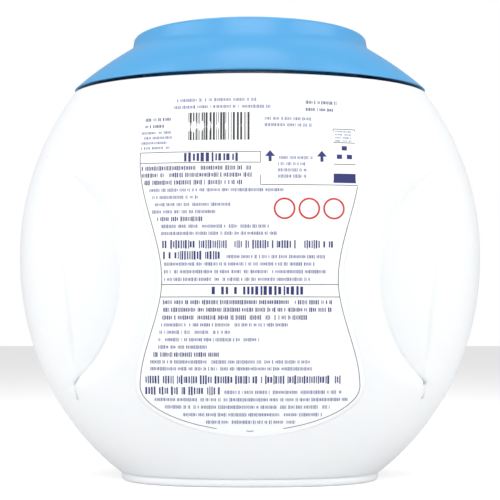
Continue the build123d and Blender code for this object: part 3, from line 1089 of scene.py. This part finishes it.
def print_lines(ink, width):
    """The thin outline, steps, rules and column box of the label."""
    inset = 2.6 * MM
    step_height, notch_height, notch_across = 167.3 * MM, 150.8 * MM, 5.2 * MM
    low = LABEL_BOTTOM + inset
    outline = [(-float(label_half(step_height, inset)), step_height)]
    heights = [step_height + (low - step_height) * share for share in np.linspace(0, 1, 90)]
    outline += [(-float(label_half(height, inset)), height) for height in heights[1:]]
    under_notch = [height for height in reversed(heights) if height < notch_height]
    right = [(float(label_half(height, inset)), height) for height in under_notch]
    ink.stroke(outline + right, width)
    ink.rule(-float(label_half(step_height, inset)), notch_across, step_height, width)
    ink.stroke([(notch_across, step_height), (notch_across, notch_height)], width)
    ink.rule(notch_across, float(label_half(notch_height, inset)), notch_height, width)
    for height, end in ((161.9, notch_across), (101.6, None), (95.5, None)):
        side = float(label_half(height * MM, inset))
        ink.rule(-side, side if end is None else end, height * MM, width)
    left, edge = 41.4 * MM, 52.4 * MM
    for height in (179.2, 172.3, 161.3, 156.4):
        ink.rule(left, edge, height * MM, width)
    for across in (left, edge):
        ink.stroke([(across, 179.2 * MM), (across, 151.9 * MM)], width)


def print_stripes(ink, seed):
    """A block of upright stripes of uneven width."""
    draw = np.random.default_rng(seed)
    across = -30.6 * MM
    while across < -0.9 * MM:
        wide = float(draw.choice([0.33, 0.33, 0.66, 0.99])) * MM
        ink.box(across, across + wide, 173.2 * MM, 187.2 * MM)
        across += wide + float(draw.choice([0.33, 0.66, 0.99])) * MM


def print_navy(ink):
    """The filled block, the two pointers and the little squares."""
    ink.box(41.4 * MM, 52.4 * MM, 151.9 * MM, 156.4 * MM, 4)
    for across in (9.9 * MM, 35.6 * MM):
        ink.box(across - 0.75 * MM, across + 0.75 * MM, 162.4 * MM, 166 * MM)
        ink.polygon([(across - 2.5 * MM, 165 * MM), (across + 2.5 * MM, 165 * MM), (across, 168 * MM)])
    for row in range(3):
        turn = math.radians(90 + 120 * row)
        middle = (46.9 * MM + 2.9 * MM * math.cos(turn), 166.6 * MM + 2.9 * MM * math.sin(turn))
        ink.box(middle[0] - 1.3 * MM, middle[0] + 1.3 * MM, middle[1] - 1.1 * MM, middle[1] + 1.1 * MM)


class PODTUB_OT_back_label(bpy.types.Operator):
    """Build the back label and its greeked print"""

    bl_idname = "podtub.back_label"
    bl_label = "Back label"

    def execute(self, context):
        sizes, label = context.scene.podtub_tub, context.scene.podtub_label
        sheet = film(sizes, label, -1, "back_film")
        dress(sheet, "Label film", "tub")
        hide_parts("back_label")
        context.view_layer.update()
        tree = rows_tree()
        blocks = {}
        for number, (top, left, right, rows, pitch, tall, wide, ragged, ink) in enumerate(BLOCKS):
            values = {
                "Film": sheet, "Left": left * MM, "Right": right * MM, "Top": top * MM, "Rows": rows,
                "Pitch": pitch * MM, "Height": tall * MM, "Width": wide * MM * MARK_FILL,
                "Gap": wide * MM * MARK_GAP, "Ragged": ragged, "Side": -1.0, "Lift": label.ink_lift,
                "Seed": label.seed + SEED_STEP * number, "Ink": bpy.data.materials[ink],
            }
            blocks.setdefault(ink, []).append(printed_rows(f"rows_{number}", tree, values))
        for ink, objects in blocks.items():
            marks = joined(ink.lower().replace(" ", "_") + "_rows", objects)
            dress(marks, ink, "tub")
        lines = Ink(sizes, label, -1)
        print_lines(lines, label.line_width)
        print_stripes(lines, label.seed)
        dress(lines.build("black_lines"), "Black ink", "tub")
        solid = Ink(sizes, label, -1)
        print_navy(solid)
        dress(solid.build("navy_shapes"), "Navy ink", "tub")
        rings = Ink(sizes, label, -1)
        for across in (17, 29.2, 41.4):
            rings.ring(across * MM, 139 * MM, 4.9 * MM, 0.9 * MM)
        dress(rings.build("red_rings"), "Red ink", "tub")
        return {"FINISHED"}


class PODTUB_OT_front_label(bpy.types.Operator):
    """Build the front label with its plain fields of colour"""

    bl_idname = "podtub.front_label"
    bl_label = "Front label"

    def execute(self, context):
        sizes, label = context.scene.podtub_tub, context.scene.podtub_label
        sheet = film(sizes, label, 1, "front_film")
        dress(sheet, "Label film", "tub")
        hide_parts("front_label")
        lines = Ink(sizes, label, 1)
        inset = 4 * MM
        low = LABEL_BOTTOM + inset
        heights = [low + (LABEL_TOP - inset - low) * share for share in np.linspace(0, 1, 120)]
        right = [(float(label_half(height, inset)), height) for height in heights]
        left = [(-across, height) for across, height in reversed(right)]
        lines.stroke(right + left, 0.9 * MM)
        dress(lines.build("front_outline"), "Navy ink", "tub")
        return {"FINISHED"}


class PODTUB_OT_stage(bpy.types.Operator):
    """Set the floor, lamps, even light and camera"""

    bl_idname = "podtub.stage"
    bl_label = "Stage"

    def execute(self, context):
        stage = context.scene.podtub_stage
        build_floor()
        build_lamps(stage)
        build_room(stage)
        build_camera(stage)
        return {"FINISHED"}


def build_floor():
    """A plain pale floor that reads white, and keeps the tub's shadow."""
    half = 6.0
    corners = [(-half, -half, 0), (half, -half, 0), (half, half, 0), (-half, half, 0)]
    floor = new_object("floor", corners, [(0, 1, 2, 3)])
    material = bpy.data.materials.new("Pale floor")
    material.use_nodes = True
    nodes, links = material.node_tree.nodes, material.node_tree.links
    shader = nodes["Principled BSDF"]
    shader.inputs["Base Color"].default_value = (0.82, 0.82, 0.82, 1)
    shader.inputs["Roughness"].default_value = 0.9
    shader.inputs["Specular IOR Level"].default_value = 0.1
    shader.inputs["Emission Color"].default_value = (1, 1, 1, 1)
    light = nodes.new("ShaderNodeLightPath")
    seen = nodes.new("ShaderNodeMath")
    seen.operation = "MULTIPLY"
    links.new(light.outputs["Is Camera Ray"], seen.inputs[0])
    seen.inputs[1].default_value = 0.42
    links.new(seen.outputs[0], shader.inputs["Emission Strength"])
    floor.data.materials.append(material)


def build_lamps(stage):
    """Two side softboxes, one above the camera and one overhead."""
    lamps = (
        ("Left softbox", (-0.95, -0.45, 0.35), 0.8, 1.0, stage.side_power),
        ("Right softbox", (0.95, -0.45, 0.35), 0.8, 1.0, stage.side_power),
        ("Front softbox", (0.0, -1.1, 0.75), 0.9, 0.5, stage.front_power),
        ("Top softbox", (0.0, 0.1, 1.15), 0.9, 0.9, stage.top_power),
    )
    aim = Vector((0, 0, 0.12))
    for name, place, wide, tall, power in lamps:
        data = bpy.data.lights.new(name, "AREA")
        data.shape = "RECTANGLE"
        data.size, data.size_y, data.energy = wide, tall, power
        lamp = bpy.data.objects.new(name, data)
        lamp.location = place
        lamp.rotation_euler = (aim - Vector(place)).to_track_quat("-Z", "Y").to_euler()
        bpy.context.scene.collection.objects.link(lamp)


def build_room(stage):
    """Even light, with a white room at full strength where the camera sees it, and at the room light's
    strength elsewhere.
    """
    world = bpy.data.worlds.new("White room")
    world.use_nodes = True
    bpy.context.scene.world = world
    nodes, links = world.node_tree.nodes, world.node_tree.links
    room = nodes["Background"]
    room.inputs["Color"].default_value = (1, 1, 1, 1)
    light = nodes.new("ShaderNodeLightPath")
    strength = nodes.new("ShaderNodeMix")
    links.new(light.outputs["Is Camera Ray"], strength.inputs["Factor"])
    strength.inputs[2].default_value = stage.room_light
    strength.inputs[3].default_value = 1.0
    links.new(strength.outputs[0], room.inputs["Strength"])
    bpy.context.scene.view_settings.view_transform = "Standard"


def build_camera(stage):
    """The camera, low in front of the back label."""
    data = bpy.data.cameras.new("Camera")
    data.sensor_width = 36.0
    data.lens = data.sensor_width * stage.distance / stage.view_width
    data.clip_end = 50.0
    camera = bpy.data.objects.new("Camera", data)
    camera.location = (0, -stage.distance, stage.eye_height)
    aim = Vector((0, 0, stage.aim_height))
    camera.rotation_euler = (aim - camera.location).to_track_quat("-Z", "Y").to_euler()
    bpy.context.scene.collection.objects.link(camera)
    bpy.context.scene.camera = camera


class PODTUB_PT_panel(bpy.types.Panel):
    """Lists the tub's operators and settings"""

    bl_label = "Pod tub"
    bl_idname = "PODTUB_PT_panel"
    bl_space_type = "VIEW_3D"
    bl_region_type = "UI"
    bl_category = "Pod tub"

    def draw(self, context):
        for operator in OPERATORS:
            self.layout.operator(operator.bl_idname)
        for settings, kind in SETTINGS.items():
            box = self.layout.box()
            for name in kind.__annotations__:
                box.prop(getattr(context.scene, settings), name)


SETTINGS = {
    "podtub_tub": TubSizes,
    "podtub_lid": LidSizes,
    "podtub_label": LabelSizes,
    "podtub_colours": FinishColours,
    "podtub_stage": StageSettings,
}
OPERATORS = (
    PODTUB_OT_finishes,
    PODTUB_OT_stage,
    PODTUB_OT_bowl,
    PODTUB_OT_lid,
    PODTUB_OT_seal,
    PODTUB_OT_back_label,
    PODTUB_OT_front_label,
)


def register():
    """Registers the classes and puts the settings on the scene."""
    for kind in (*SETTINGS.values(), *OPERATORS, PODTUB_PT_panel):
        bpy.utils.register_class(kind)
    for name, kind in SETTINGS.items():
        setattr(bpy.types.Scene, name, bpy.props.PointerProperty(type=kind))


def unregister():
    """Takes the settings and classes away again."""
    for name in SETTINGS:
        delattr(bpy.types.Scene, name)
    for kind in reversed((*SETTINGS.values(), *OPERATORS, PODTUB_PT_panel)):
        bpy.utils.unregister_class(kind)


def main():
    """Registers the add-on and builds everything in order."""
    register()
    bpy.ops.podtub.finishes()
    bpy.ops.podtub.stage()
    bpy.ops.podtub.bowl()
    bpy.ops.podtub.lid()
    bpy.ops.podtub.seal()
    bpy.ops.podtub.back_label()
    bpy.ops.podtub.front_label()


if __name__ == "__main__":
    main()
